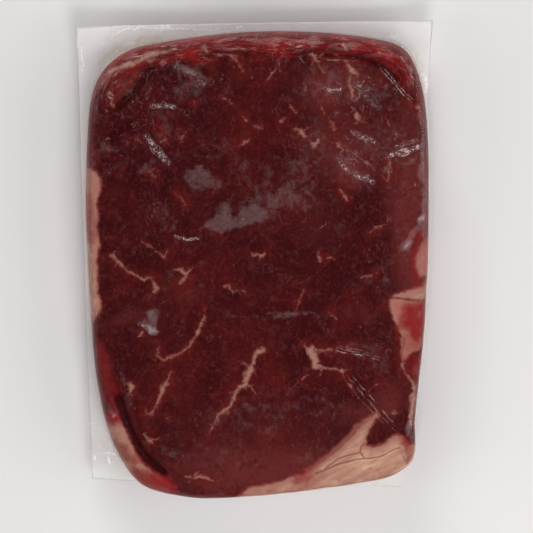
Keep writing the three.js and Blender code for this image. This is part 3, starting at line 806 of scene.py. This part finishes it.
    rough = addNode(tree, "ShaderNodeMapRange", {"Value": fine, "To Min": 0.42, "To Max": 0.62})
    bump = addNode(tree, "ShaderNodeBump", {"Height": fine, "Strength": 0.3, "Distance": 0.2 * mm})
    surface = addNode(tree, "ShaderNodeBsdfPrincipled", {
        "Base Color": colour, "Roughness": rough.outputs["Result"],
        "Normal": bump.outputs["Normal"], "Specular IOR Level": 0.02})
    addNode(tree, "ShaderNodeOutputMaterial", {"Surface": surface.outputs[0]})
    print("meat:", len(tree.nodes), "material nodes")
    return material


# Film: a clear pouch that clings to the steak and leaves a narrow free edge
filmShape = {
    "across": 104, "along": 140, "up": 40,
    "seamShare": 0.4,          # share of each wall that becomes the free edge
    "edgeThickness": 0.3,
    "leastEdge": 0.9,          # the free edge shows this much where the steak fills the pouch
    "bands": (0.7, 0.3),       # faces this near to a mark are split
    "splitAbove": 0.85,
    "marksEnd": (0.9, 0.3),    # where the marks are gone on the way down the wall, and how soon
    "strandHalfWidth": 0.2,
    "lensSide": 0.6,           # how bright the painted glints on the sides of a crinkled patch are beside its middle
    "lensBulge": 1.1,          # how far out they run, in half widths
    "creases": (1.5, 31.0, 4.0),    # size, seed and sharpness of the crinkles
    # how far the marks reach, in half widths
    "strandReach": 1.6,
    "netReach": 1.5,
    "edgeReach": 1.8,
    "edgeBelow": 0.7,          # lines of the free edge are only drawn below this share of the wall
    "gapInset": 0.8,           # a grey place sets in this far inside its outline, over this distance
    "gapReach": 1.9,
    # how the marks wander: size, amount and seed of two drifts each
    "wrinkleDrifts": [(3.0, 0.35, 11.0), (1.1, 0.18, 12.0)],
    "mistDrifts": [(7.0, 2.4, 21.0), (2.2, 0.9, 22.0)],
    "edgeDrifts": [(4.0, 0.7, 41.0), (1.3, 0.4, 42.0)],
    # wrinkles on the face: strands, spread between them, height, brightness of their painted glints,
    # route
    "lines": [
        (3, 0.6, 0.10, 0.9, [(-37.7, 71.6), (-35, 73), (-32, 74), (-29, 75)]),
        (2, 0.5, 0.10, 0.7, [(-22.8, 77), (-20.6, 77.7)]),
        (2, 0.5, 0.10, 0.6, [(-14.2, 74.5), (-9, 73.2), (-4, 73.3), (1.7, 74)]),
        (2, 0.5, 0.10, 0.9, [(10.4, 77.4), (12.1, 75.2), (14.2, 74.4), (17.3, 74.8)]),
        (3, 0.6, 0.10, 0.9, [(17.3, 78.2), (21, 78), (25.3, 77.6)]),
        (2, 0.4, 0.10, 0.7, [(21.8, 69.5), (27.7, 69.8), (34.6, 69.3)]),
        (1, 0.0, 0.10, 0.8, [(14.9, 70.8), (16.3, 69), (17.6, 67.5)]),
        (2, 1.0, 0.14, 1.0, [(43.3, 67), (46, 64), (48.4, 61), (51.4, 57.9), (53.8, 55.6)]),
        (1, 0.0, 0.10, 0.6, [(48, 70.8), (52, 66.6), (55.4, 60.6)]),
        (2, 1.0, 0.08, 0.45, [(7.4, 72.6), (8.6, 66), (10.4, 60.6)]),
        (2, 0.9, 0.10, 0.8, [(-50.8, 64.3), (-46, 67.2), (-41, 69.6)]),
        (3, 0.5, 0.10, 1.3, [(-50.8, 58.4), (-49.6, 58), (-48.4, 57)]),
        (1, 0.0, 0.10, 1.0, [(-41.7, 56.2), (-41.3, 55.4)]),
        (2, 0.7, 0.08, 0.4, [(-34.4, 66.6), (-32.4, 63), (-31.4, 59)]),
        (1, 0.0, 0.08, 0.4, [(-36.4, 66.4), (-36.8, 62), (-39, 57.6)]),
        (3, 0.9, 0.10, 0.8, [(26.5, -28.6), (32, -30), (37, -31), (44, -32.6)]),
        (2, 0.6, 0.08, 0.5, [(30.5, -30.8), (36, -32.2), (43.5, -33.4)]),
        (3, 1.3, 0.10, 0.8, [(30, -36.5), (36, -44), (42, -51), (49.5, -59.5)]),
        (1, 0.0, 0.10, 0.8, [(-59.2, 29.4), (-56.8, 24.4), (-54.8, 19), (-54, 12)]),
        (2, 0.8, 0.10, 0.9, [(-50.5, -50.6), (-48.6, -51.8), (-47, -51)]),
        (2, 0.6, 0.10, 0.8, [(-49.5, -53.4), (-47.4, -52.2)]),
        (2, 0.8, 0.08, 0.8, [(35.4, 60.4), (37.4, 62.4), (39.4, 64)]),
        (2, 0.8, 0.08, 0.7, [(38.6, 56.4), (40.6, 54.4), (42.6, 52.8)]),
        (2, 0.9, 0.08, 0.6, [(33, 62), (36, 60), (40, 59.5)]),
        (2, 0.9, 0.10, 0.35, [(-48.6, -33), (-46.2, -37), (-44.6, -42), (-43.8, -47)]),
        (2, 0.8, 0.08, 0.35, [(-53.6, 40.6), (-49, 39.6), (-45, 40.6), (-42, 43)]),
        (1, 0.0, 0.08, 0.30, [(-44, 45), (-39, 46.5), (-36.5, 43)]),
        (2, 0.8, 0.08, 0.25, [(10.5, 37), (12, 30), (11, 24)]),
        (1, 0.0, 0.08, 0.30, [(-27, 14), (-30.5, 18), (-30, 24)]),
        (2, 0.9, 0.08, 0.30, [(-27.5, 68.5), (-26, 62), (-23.5, 58), (-18.5, 57), (-14, 60), (-12, 65)]),
        (2, 0.9, 0.08, 0.30, [(14, 41), (19, 43), (24, 41.5), (29, 42)]),
        (1, 0.0, 0.08, 0.40, [(40.4, 41.2), (42.8, 39.7), (46.5, 39.5)]),
        (2, 0.8, 0.10, 0.7, [(47.8, 44.9), (48.2, 42.4)]),
        (1, 0.0, 0.10, 0.8, [(54.7, 28), (54.6, 26.4)]),
        (2, 0.6, 0.08, 0.30, [(-29, -1), (-27, -5), (-24, -9)]),
        (1, 0.0, 0.08, 0.25, [(1, -49), (4, -54), (9, -59), (14, -62)]),
        (2, 0.8, 0.08, 0.25, [(16, -65), (20, -68), (23, -70)]),
        (2, 0.8, 0.08, 0.35, [(-28, 12), (-24, 7.4), (-19, 6.6), (-14, 7.6)]),
    ],
    # lens-shaped patches of fine crinkles: half width, height, brightness of their painted glints, route
    "nets": [
        (1.3, 0.12, 1.0, [(-36.8, 43.6), (-33.4, 38.8), (-29.6, 34.6)]),
        (1.9, 0.10, 0.6, [(-27, 67.4), (-23, 66), (-19.4, 64.6), (-17.6, 61.6)]),
        (1.1, 0.10, 0.9, [(-34.8, 53.8), (-31, 54.6), (-27.4, 53.6)]),
        (1.1, 0.14, 1.4, [(46.6, 37.4), (51, 38.3), (55.6, 40)]),
        (1.1, 0.12, 0.7, [(48.6, 40), (52, 41.2), (55.6, 42.6)]),
        (1.1, 0.12, 0.9, [(33.5, 45), (35.9, 44), (38.3, 42.8), (40.4, 41.8)]),
        (0.8, 0.12, 0.9, [(23.4, 60.2), (26, 59.1), (29.4, 59.8)]),
        (0.5, 0.12, 1.3, [(-27.6, 9.6), (-25.9, 8.8), (-23, 8.3), (-19.4, 8.5)]),
        (0.9, 0.12, 1.0, [(28.6, 35.8), (30.6, 33.4), (32.1, 31.2)]),
        (1.1, 0.12, 0.9, [(34, 31.4), (36, 29.4), (38.4, 29.6), (40.2, 28.2)]),
        (0.9, 0.12, 0.8, [(-39.6, -20.8), (-36.6, -22), (-33.4, -23.6)]),
        (1.9, 0.08, 0.5, [(35.5, 61), (38, 57.5), (42, 53.5)]),
    ],
    # grey places where the film stands off the meat, partly a painted sheen of the light the film
    # reflects there: strength, outline
    "gaps": [
        (1.0, [(-17.3, 12.4), (-15.5, 15.2), (-14.1, 17.9), (-12.1, 20.7), (-10, 21), (-7.2, 18.3),
            (-5.2, 16.9), (-3.1, 19.7), (0.3, 20), (3.8, 17.6), (4.5, 15.2), (1.7, 13.8), (-3.1, 13.5),
            (-6.6, 12.8), (-10.7, 11.7), (-12.8, 10.4), (-15.5, 11.4)]),
        (0.75, [(-22.4, 31.4), (-19, 32.4), (-15.5, 31.4), (-12, 30.4), (-11.4, 27.6), (-14.5, 25.2),
            (-19, 24.2), (-22, 25.5), (-22.8, 28.6)]),
        (1.6, [(50.2, 4.8), (50.4, 8.2), (51.4, 10), (53.5, 11), (56.2, 13.4), (55.6, 10.8), (54.2, 7.6),
            (52.6, 4.8)]),
        (1.4, [(55.4, 12.6), (56.8, 15.6), (59.4, 18.4), (59.6, 14), (57.6, 11.8)]),
        (0.9, [(-36.4, -16.6), (-33.6, -15.4), (-32.8, -19.5), (-33, -24.4), (-36.4, -23.2),
            (-39.8, -20.8), (-37.2, -19.8)]),
        (0.8, [(44.4, 33.6), (45.8, 34.6), (46.6, 31.6), (45.9, 29.6), (44.4, 31)]),
        (0.7, [(48.6, 36.8), (51, 36.2), (55.4, 38), (55.8, 35.4), (52, 34.6), (49.6, 34.2)]),
    ],
    # the same, softer, with strips of painted sheen along the rim: x, y, half length, half width, turn,
    # strength
    "mistAndSheen": [
        (6.7, 23.1, 2.2, 2.8, 0, 0.75), (10.7, 20, 2.8, 2.0, -20, 0.65), (14.8, 24.8, 2.6, 1.6, 30, 0.65),
        (5.5, 30.4, 1.5, 3.2, 0, 0.5), (-3.5, 32.8, 1.5, 1.4, 0, 0.6), (0.3, 26.9, 1.8, 2.4, 0, 0.5),
        (-17.6, 36.9, 2, 1.6, 0, 0.5), (16.2, 33.8, 7, 5, 0, 0.5), (17.3, 17.2, 1.2, 1.9, 0, 0.5),
        (12.4, 14, 1.8, 1.4, 0, 0.45), (5, 31, 7, 6, 0, 0.35), (22.5, 21, 6, 5, 0, 0.35),
        (-4, 34, 7, 5, 0, 0.3), (7, 22.5, 14, 10, 0, 0.62), (17, 26, 8, 7, 0, 0.45),
        (8, 16, 9, 5, 0, 0.3), (29, 15, 7, 6, 0, 0.25), (-12, 38, 10, 6, 0, 0.3),
        (31, 35, 6, 5, -20, 0.5), (36, 30, 4.5, 3, -35, 0.5), (26, 62, 14, 9, 0, 0.45),
        (44, 40, 11, 12, 0, 0.4), (20, 38, 10, 13, 0, 0.4), (-22, 65.4, 4.2, 1.2, -25, 1.6),
        (2, 77, 16, 1.6, 0, 2.6), (-31.4, 68.6, 1.5, 1, 0, 1.8), (52.8, 7.9, 2.8, 0.9, 51, 9.0),
        (57.3, 15, 1.9, 0.8, 48, 8.0), (-35.5, -22.8, 2.6, 1.1, -20, 6.0), (-35.5, -19, 1.5, 2.4, 0, 2.5),
        (58, 34, 27, 1.6, 92, 2.2), (55.5, 67, 9, 1.4, 118, 2.6), (53.4, -54, 9, 1.0, 92, 2.4),
        (14, -18.0, 14, 1.0, 1, 0.9), (-6, -18, 9, 0.9, -3, 0.45), (29.6, 13, 4, 2, 0, 0.2),
        (35, -28, 7, 1.8, -5, 0.4), (-32, 16, 3, 4, 0, 0.5), (-28, 11.4, 2, 1.6, 30, 0.7),
        (-38, 60, 8, 4, 20, 0.35), (-23, 61, 6, 4.4, -20, 0.6), (-21, 65, 5, 2, -25, 0.7),
        (-49, 40.6, 6, 1.6, 0, 0.75), (-36, 34, 4, 3, 0, 0.5), (14, -45, 5, 6, 0, 0.35),
        (-2, -52, 22, 8, 10, 0.35), (4, -57, 2.4, 2.0, 0, 0.5), (-20, -8, 3, 1, 10, 0.5),
        (44, 58, 7, 7, 0, 0.4), (43, -5, 6, 9, 0, 0.4), (38, 54, 8, 6, 0, 0.3), (52, 28, 3, 8, 0, 0.35),
        (-30, 48, 8, 6, 40, 0.35), (42, -34, 8, 6, 0, 0.4), (-28, -3, 4, 2.4, 30, 0.4),
        (20, -66, 10, 3, 35, 0.4), (-10, -66, 12, 5, 0, 0.35), (24, -48, 12, 8, 0, 0.3),
        (-27, -66, 7, 5, 0, 0.35),
    ],
    # stretches of soft crumpling, drawn as faint lines of painted highlight: x, y, half length, half
    # width, turn, strength
    "crumples": [
        (-36, 54, 18, 20, 0, 1.0), (-20, 62, 12, 9, 0, 0.8), (-47, 38, 9, 8, 0, 0.8),
        (38, 57, 15, 13, 0, 1.5), (34, 37, 13, 9, -30, 1.6), (17, 32, 9, 10, 0, 0.7),
        (-33, 16, 7, 12, 0, 0.7), (46, -30, 9, 12, 0, 0.5), (4, 72, 48, 6, 0, 0.8),
        (-36, -66, 9, 12, 0, 0.5), (48, 18, 8, 30, 0, 0.5),
    ],
    # lines on the free edge, drawn as painted glints and yellowish strips: half width, brightness, how
    # yellow, route
    "edgeLines": [
        (1.0, 0.60, 0.8, [(-52.4, 67.6), (-48.6, 71.6), (-44.6, 73.8), (-40, 74.9), (-34, 76)]),
        (0.8, 1.00, 0.0, [(-45.8, 74), (-43.4, 75.2), (-41, 75)]),
        (0.4, 0.90, 0.0, [(-58, 70), (-52.5, 74.6), (-46, 79.4), (-38, 80.2), (-20, 79.6), (-8, 79.4)]),
        (1.0, 1.00, 0.0, [(-33.6, 79.8), (-31, 80.3), (-28.4, 80)]),
        (0.6, 0.90, 0.0, [(-7, 80.4), (-4, 80.4)]),
        (0.5, 0.80, 0.0, [(-60.6, 76), (-59.4, 70), (-59.6, 63)]),
        (1.6, 1.00, 0.0, [(45.4, 78.4), (48, 77), (51, 74.4)]),
        (0.9, 0.80, 0.5, [(51, 74.4), (54, 71.6), (56, 68)]),
        (1.3, 0.90, 0.1, [(57.6, 65.6), (59.2, 61.6), (59.4, 57)]),
        (0.5, 0.60, 0.0, [(-56.4, -68.2), (-52, -68.6), (-47.2, -69)]),
        (0.6, 0.90, 0.0, [(-56.4, -69), (-56, -71.5)]),
        (0.6, 0.90, 0.0, [(-51.6, -69.4), (-50.8, -71.6), (-51.4, -73.4)]),
    ],
}


# Splits a wrinkle into nearly parallel strands of uneven brightness
def strandsOf(lines, seed=11):
    dice = random.Random(seed)
    halfWidth = filmShape["strandHalfWidth"]
    strands = []
    for count, spread, height, bright, route in lines:
        for k in range(count):
            aside = spread * (k - (count - 1) / 2)
            moved = []
            for x, y in route:
                moved.append((x + aside * dice.uniform(0.2, 1), y + aside * dice.uniform(0.6, 1.2)))
            strands.append((halfWidth, height, bright * dice.uniform(0.55, 1.0), moved))
    return strands


# The two sides of a lens-shaped patch, as strands
def lensSides(nets):
    sides = []
    for halfWidth, height, bright, route in nets:
        for reach in (-halfWidth * filmShape["lensBulge"], halfWidth * filmShape["lensBulge"]):
            side = []
            for i, (x, y) in enumerate(route):
                ax, ay = route[max(i - 1, 0)]
                bx, by = route[min(i + 1, len(route) - 1)]
                length = math.hypot(bx - ax, by - ay)
                # the sine doesn't quite reach 0 at either end, which leaves the ends blunt
                bulge = reach * math.sin(math.pi * (i + 0.35) / (len(route) - 0.3))
                side.append((x - bulge * (by - ay) / length, y + bulge * (bx - ax) / length))
            sides.append((filmShape["strandHalfWidth"], height, bright * filmShape["lensSide"], side))
    return sides


# Waves and curled corners of the free edge
def edgeLift(plan):
    shape = packShape
    x, y = plan.T
    lift = shape["wave"] * np.sin(x / shape["waveAcross"]) * np.cos(y / shape["waveAlong"])
    for corner, curl in zip(shape["pouchCorners"], shape["curls"]):
        lift += curl * smoothFade(np.linalg.norm(plan - np.array(corner), axis=1), shape["curlReach"])
    return lift


# The film's face and walls, with the free edge folded out of the wall at the widest line
def filmPlaces(grid):
    shape = filmShape
    share, angle, reach = planOf(grid)
    rim, lean = rimAt(angle)
    w = grid[:, 2]
    seam = shape["seamShare"]
    wall = np.clip((np.abs(w) - seam) / (1 - seam), 0, 1) * math.pi / 2
    out = np.clip(1 - np.abs(w) / seam, 0, 1)
    inset = np.where(w >= 0, lean, packShape["backRounding"]) * (1 - np.cos(wall))
    edge = np.maximum(reach, rim + shape["leastEdge"])
    plan = layOut(share, angle, reach, rim - inset + out * (edge - rim))
    top = faceHeight(plan)
    widest = packShape["widestHeight"] + edgeLift(plan)
    sheet = shape["edgeThickness"] / 2 * np.sign(w) * np.clip((1 - out) * 8, 0, 1)
    above = widest + (top - widest) * np.sin(wall)
    below = widest * (1 - np.sin(wall))
    z = np.where(w >= 0, above, below) + sheet * np.cos(wall)
    return plan, z, out * (np.abs(w) < seam)


# Distance to the nearest of some marks, which begin with a half width and end with a route
def marksGap(points, marks):
    return np.min([routeDistance(points, mark[-1]) - mark[0] for mark in marks], axis=0)


def makeFilm():
    shape = filmShape
    strands = strandsOf(shape["lines"]) + lensSides(shape["nets"])
    bm = gridBox(shape["across"], shape["along"], shape["up"])
    for band in shape["bands"]:
        grid = gridPlaces(bm)
        plan, _, out = filmPlaces(grid)
        onFace = np.minimum(marksGap(plan, strands + shape["nets"]), cutGap(plan)) < band
        onEdge = marksGap(plan, shape["edgeLines"]) < band
        splitNear(bm, (grid[:, 2] > shape["splitAbove"]) & onFace | (out > 0) & onEdge)
    grid = gridPlaces(bm)
    plan, z, out = filmPlaces(grid)
    end, reach = shape["marksEnd"]
    onTop = smoothFade(end - grid[:, 2], reach)

    first, second = shape["wrinkleDrifts"]
    loose = wander(wander(plan, *first), *second)
    size, seed, sharpness = shape["creases"]
    creases = np.clip(1 - sharpness * np.abs(roughness(plan, size, seed)), 0, 1)
    line, net = np.zeros(len(plan)), np.zeros(len(plan))
    for halfWidth, height, bright, route in strands:
        distance = routeDistance(loose, route)
        fade = taper(loose, route)
        z = z + onTop * height * fade * np.exp(-((distance / halfWidth) ** 2))
        mark = onTop * bright * fade * smoothFade(distance, halfWidth * shape["strandReach"])
        line = np.maximum(line, mark)
    for halfWidth, height, bright, route in shape["nets"]:
        patch = onTop * smoothFade(routeDistance(loose, route), halfWidth * shape["netReach"])
        z = z + height * patch * creases
        net = np.maximum(net, bright * patch)

    first, second = shape["mistDrifts"]
    loose = wander(wander(plan, *first), *second)
    mistAndSheen = np.max(list(patchShares(loose, shape["mistAndSheen"])), axis=0)
    for strength, outline in shape["gaps"]:
        distance = areaDistance(loose, outline) + shape["gapInset"]
        mistAndSheen = np.maximum(mistAndSheen, strength * smoothFade(distance, shape["gapReach"]))
    crumple = np.max(list(patchShares(plan, shape["crumples"])), axis=0)

    first, second = shape["edgeDrifts"]
    loose = wander(wander(plan, *first), *second)
    yellow = np.zeros(len(plan))
    for halfWidth, bright, warmth, route in shape["edgeLines"]:
        distance = routeDistance(loose, route)
        mark = bright * taper(loose, route) * smoothFade(distance, halfWidth * shape["edgeReach"])
        mark = np.where(grid[:, 2] < shape["edgeBelow"], mark, 0)
        yellow = np.where(mark > line, warmth, yellow)
        line = np.maximum(line, mark)
    film = finishMesh(bm, "pouch_film", np.column_stack([plan, z]), {
        "line": line, "net": net, "mistAndSheen": onTop * mistAndSheen, "freeEdge": out, "yellow": yellow,
        "crumple": onTop * crumple, **rimPlaces(grid, plan, z)})
    print("film:", len(film.data.polygons), "faces")
    return film


filmLook = {
    "clear": (0.99, 0.99, 0.99, 1),
    "hazeAndGlints": (0.92, 0.72, 0.72, 1),       # tint of the film's milkiness and of its painted glints and sheen over the meat
    "blush": (0.90, 0.46, 0.46, 1),      # tint of the painted sheen over the shoulder and the slanted walls
    "edge": (0.97, 0.95, 0.94, 1),
    "yellow": (0.90, 0.84, 0.68, 1),
    "ior": 1.45,
    "mostMirror": (0.30, 0.01),          # on the face and on the walls
    "gloss": 0.07,
    "hazeRoughness": 0.35,
}


def makeFilmMaterial():
    material, tree = newMaterial("film")
    look = filmLook
    line, net, mistAndSheen, crumple, down, rimY = (readAttribute(tree, name) for name in (
        "line", "net", "mistAndSheen", "crumple", "down", "rimY"))
    spark = noiseAt(tree, (0.9, 0.9, 0.9), (2, 3, 4), detail=3, rough=0.65)
    breaks = noiseAt(tree, (2.6, 2.6, 2.6), (1, 7, 2), detail=2, rough=0.5)

    # painted glints: the wrinkles glint in dashes, and the crinkled patches in a fine net
    dashes = product(tree, between(tree, line, 0.05, 0.6), between(tree, breaks, 0.38, 0.60), line,
                     scaled(tree, spark, 1.2, 0.2), 0.7)
    ridge = noiseAt(tree, (1.25, 1.25, 1.25), (5, 1, 7), detail=2, rough=0.6, distortion=1.0)
    mesh = product(tree, between(tree, ridgesOf(tree, ridge), 0.06, 0.0),
                   between(tree, spark, 0.37, 0.60), between(tree, net, 0.1, 0.8), net, 0.8)

    # the grey cover, part film standing off the meat and part painted sheen, is whole where the film
    # stands well off the meat, and breaks up into blobs elsewhere
    blobs = noiseAt(tree, (2.6, 3.0, 2.6), (8, 1, 2), detail=4, rough=0.62, distortion=0.4)
    veilSheen = between(tree, scaled(tree, mistAndSheen, 0.42, blobs), 0.55, 0.85)
    veilSheen = product(tree, veilSheen, scaled(tree, mistAndSheen, 0.046, 0.014), scaled(tree, spark, 1.4, 0.3),
                   scaled(tree, blobs, 1.6, 0.2))
    veilSheen = calculate(tree, "ADD", veilSheen, product(tree, net, 0.025))

    # soft crumpling: faint crooked lines of painted highlight
    crookGlints = noiseAt(tree, (5.5, 6.5, 5.5), (3, 2, 8), detail=2, rough=0.5, distortion=1.4)
    crookGlints = product(tree, between(tree, ridgesOf(tree, crookGlints), 0.035, 0.0),
                    between(tree, breaks, 0.40, 0.66), crumple, scaled(tree, spark, 0.15, 0.0))

    # fine pleats round the shoulder, most of them at the far end, drawn as painted sheen and painted
    # glints
    shoulder = product(tree, between(tree, down, -6.5, -2.0), between(tree, down, 4.5, 1.0),
                       scaled(tree, between(tree, rimY, 46.0, 72.0), 0.85, 0.15))
    pleatSheen = product(tree, between(tree, streaksAt(tree, 8, 2.6, Distortion=0.9), 0.44, 0.74), 0.26)
    glint = ridgesOf(tree, streaksAt(tree, 8, 2.6, 3.0, Distortion=0.9))
    glint = product(tree, between(tree, glint, 0.03, 0.0), between(tree, breaks, 0.50, 0.66), 0.6)
    pleatSheen = product(tree, calculate(tree, "MAXIMUM", pleatSheen, glint), shoulder)

    # the free edge is milky, partly its own and partly painted light that lifts the steak's shade on it,
    # more towards the far end, with a painted highlight on its outer rim and painted glints on its lines;
    # the walls whiten with a painted reflection where seen at a slant
    edge = readAttribute(tree, "freeEdge")
    onEdge = between(tree, edge, 0.02, 0.1)
    rim = product(tree, between(tree, edge, 0.94, 1.0), 0.3)
    cloudAndPaintedLight = scaled(tree, noiseAt(tree, (22, 22, 22), detail=2), 0.40, 0.22)
    cloudAndPaintedLight = product(tree, cloudAndPaintedLight, scaled(tree, between(tree, rimY, -80.0, 40.0), 0.5, 0.5))
    edgeLine = product(tree, line, onEdge, scaled(tree, spark, 1.2, 0.4))
    facing = addNode(tree, "ShaderNodeLayerWeight", {"Blend": 0.5}).outputs["Facing"]
    offEdge = product(tree, calculate(tree, "SUBTRACT", 1.0, onEdge), 0.18)
    aslantReflection = product(tree, between(tree, facing, 0.55, 1.0), offEdge, scaled(tree, blobs, 1.6, 0.1))
    # share of the white layer: the film's own milkiness together with the painted glints, sheen and
    # reflections above
    hazeAndGlints = combine(tree, "MAXIMUM", dashes, mesh, veilSheen, rim, crookGlints, product(tree, onEdge, cloudAndPaintedLight),
                   edgeLine, pleatSheen, aslantReflection)

    # only the side that faces out mirrors, and less so where the film is stretched over a slope
    crinkle = noiseAt(tree, (2.4, 2.4, 2.4), (6, 6, 6), detail=3, rough=0.6)
    bump = addNode(tree, "ShaderNodeBump", {"Height": crinkle, "Strength": 0.3, "Distance": 0.5 * mm})
    shine = addNode(tree, "ShaderNodeBsdfGlossy", {
        "Color": (1, 1, 1, 1), "Roughness": look["gloss"], "Normal": bump.outputs["Normal"]})
    clear = addNode(tree, "ShaderNodeBsdfTransparent", {"Color": look["clear"]})
    fresnel = addNode(tree, "ShaderNodeFresnel", {"IOR": look["ior"], "Normal": bump.outputs["Normal"]})
    onFace, onWall = look["mostMirror"]
    slope = between(tree, readAttribute(tree, "steep"), 0.006, 0.035)
    most = scaled(tree, slope, onWall - onFace, onFace)
    mirror = calculate(tree, "MINIMUM", fresnel.outputs[0], most)
    behind = addNode(tree, "ShaderNodeNewGeometry").outputs["Backfacing"]
    mirror = product(tree, mirror, calculate(tree, "SUBTRACT", 1.0, behind))
    glass = addNode(tree, "ShaderNodeMixShader", {0: mirror, 1: clear.outputs[0], 2: shine.outputs[0]})

    # the painted sheen over the shoulder and the slanted walls takes the blush tint
    stretched = calculate(tree, "MAXIMUM", shoulder, product(tree, aslantReflection, 5.5))
    tone = mixColours(tree, stretched, look["hazeAndGlints"], look["blush"])
    tone = mixColours(tree, onEdge, tone, look["edge"])
    tone = mixColours(tree, readAttribute(tree, "yellow"), tone, look["yellow"])
    white = addNode(tree, "ShaderNodeBsdfPrincipled", {
        "Base Color": tone, "Roughness": look["hazeRoughness"], "Specular IOR Level": 0.3})
    whole = addNode(tree, "ShaderNodeMixShader", {0: hazeAndGlints, 1: glass.outputs[0], 2: white.outputs[0]})
    addNode(tree, "ShaderNodeOutputMaterial", {"Surface": whole.outputs[0]})
    print("film:", len(tree.nodes), "material nodes")
    return material


steak = makeSteak()
steak.data.materials.append(makeMeatMaterial())
film = makeFilm()
film.data.materials.append(makeFilmMaterial())
for piece, slotName in ((steak, "meat"), (film, "film")):
    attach(piece, "root")
    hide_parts("sealed_pack")

# Floor, light and camera, in metres
studio = {
    "floorSize": 1.6,
    "floorColour": (0.78, 0.765, 0.76, 1),
    "horizon": (0.50, 0.50, 0.51, 1),
    "zenith": (0.02, 0.02, 0.02, 1),
    "skyFade": (0.02, 0.42),    # how far up the horizon's tone reaches
    "cameraDistance": 1.1,
    "cameraTilt": 6.0,          # degrees from straight down, towards the far end
    "target": (0.0040, -0.0027, 0.010),
    "viewWidth": 0.1855,
    # name, place, size, watts, and whether the film mirrors the lamp: the first two would draw hard
    # bars on its folds
    "lamps": [
        ("farLamp", (-0.15, 0.95, 0.50), 0.5, 6.0, False),
        ("nearLamp", (0.10, -0.30, 0.62), 0.35, 2.75, False),
        ("rightLamp", (0.95, -0.1, 0.75), 0.8, 4.6, True),
        ("leftLamp", (-0.95, -0.1, 0.75), 0.8, 2.8, True),
    ],
}


def makeFloor():
    bm = bmesh.new()
    bmesh.ops.create_grid(bm, x_segments=2, y_segments=2, size=studio["floorSize"] / 2)
    mesh = bpy.data.meshes.new("floor")
    bm.to_mesh(mesh)
    bm.free()
    floor = bpy.data.objects.new("floor", mesh)
    bpy.context.scene.collection.objects.link(floor)
    material, tree = newMaterial("paleFloor")
    surface = addNode(tree, "ShaderNodeBsdfPrincipled", {
        "Base Color": studio["floorColour"], "Roughness": 0.6, "Specular IOR Level": 0.2})
    addNode(tree, "ShaderNodeOutputMaterial", {"Surface": surface.outputs[0]})
    mesh.materials.append(material)


def makeLights():
    for name, place, size, watts, mirrored in studio["lamps"]:
        lamp = bpy.data.lights.new(name, "AREA")
        lamp.shape = "DISK"
        lamp.size = size
        lamp.energy = watts
        holder = bpy.data.objects.new(name, lamp)
        holder.location = place
        holder.rotation_euler = (-Vector(place)).to_track_quat("-Z", "Y").to_euler()
        holder.visible_glossy = mirrored
        bpy.context.scene.collection.objects.link(holder)
    world = bpy.data.worlds.new("studio")
    world.use_nodes = True
    tree = world.node_tree
    tree.nodes.clear()
    direction = addNode(tree, "ShaderNodeTexCoord").outputs["Generated"]
    up = addNode(tree, "ShaderNodeSeparateXYZ", {"Vector": direction}).outputs["Z"]
    tone = mixColours(tree, between(tree, up, *studio["skyFade"]), studio["horizon"], studio["zenith"])
    background = addNode(tree, "ShaderNodeBackground", {"Color": tone, "Strength": 1.0})
    addNode(tree, "ShaderNodeOutputWorld", {"Surface": background.outputs[0]})
    bpy.context.scene.world = world


def makeCamera():
    camera = bpy.data.cameras.new("camera")
    camera.sensor_width = 36.0
    camera.lens = camera.sensor_width * studio["cameraDistance"] / studio["viewWidth"]
    tilt = math.radians(studio["cameraTilt"])
    holder = bpy.data.objects.new("camera", camera)
    away = Vector((0, math.sin(tilt), math.cos(tilt)))
    holder.location = Vector(studio["target"]) + away * studio["cameraDistance"]
    holder.rotation_euler = (-tilt, 0, 0)
    bpy.context.scene.collection.objects.link(holder)
    bpy.context.scene.camera = holder


makeFloor()
makeLights()
makeCamera()
bpy.context.scene.view_settings.view_transform = "Standard"
print("studio ready")
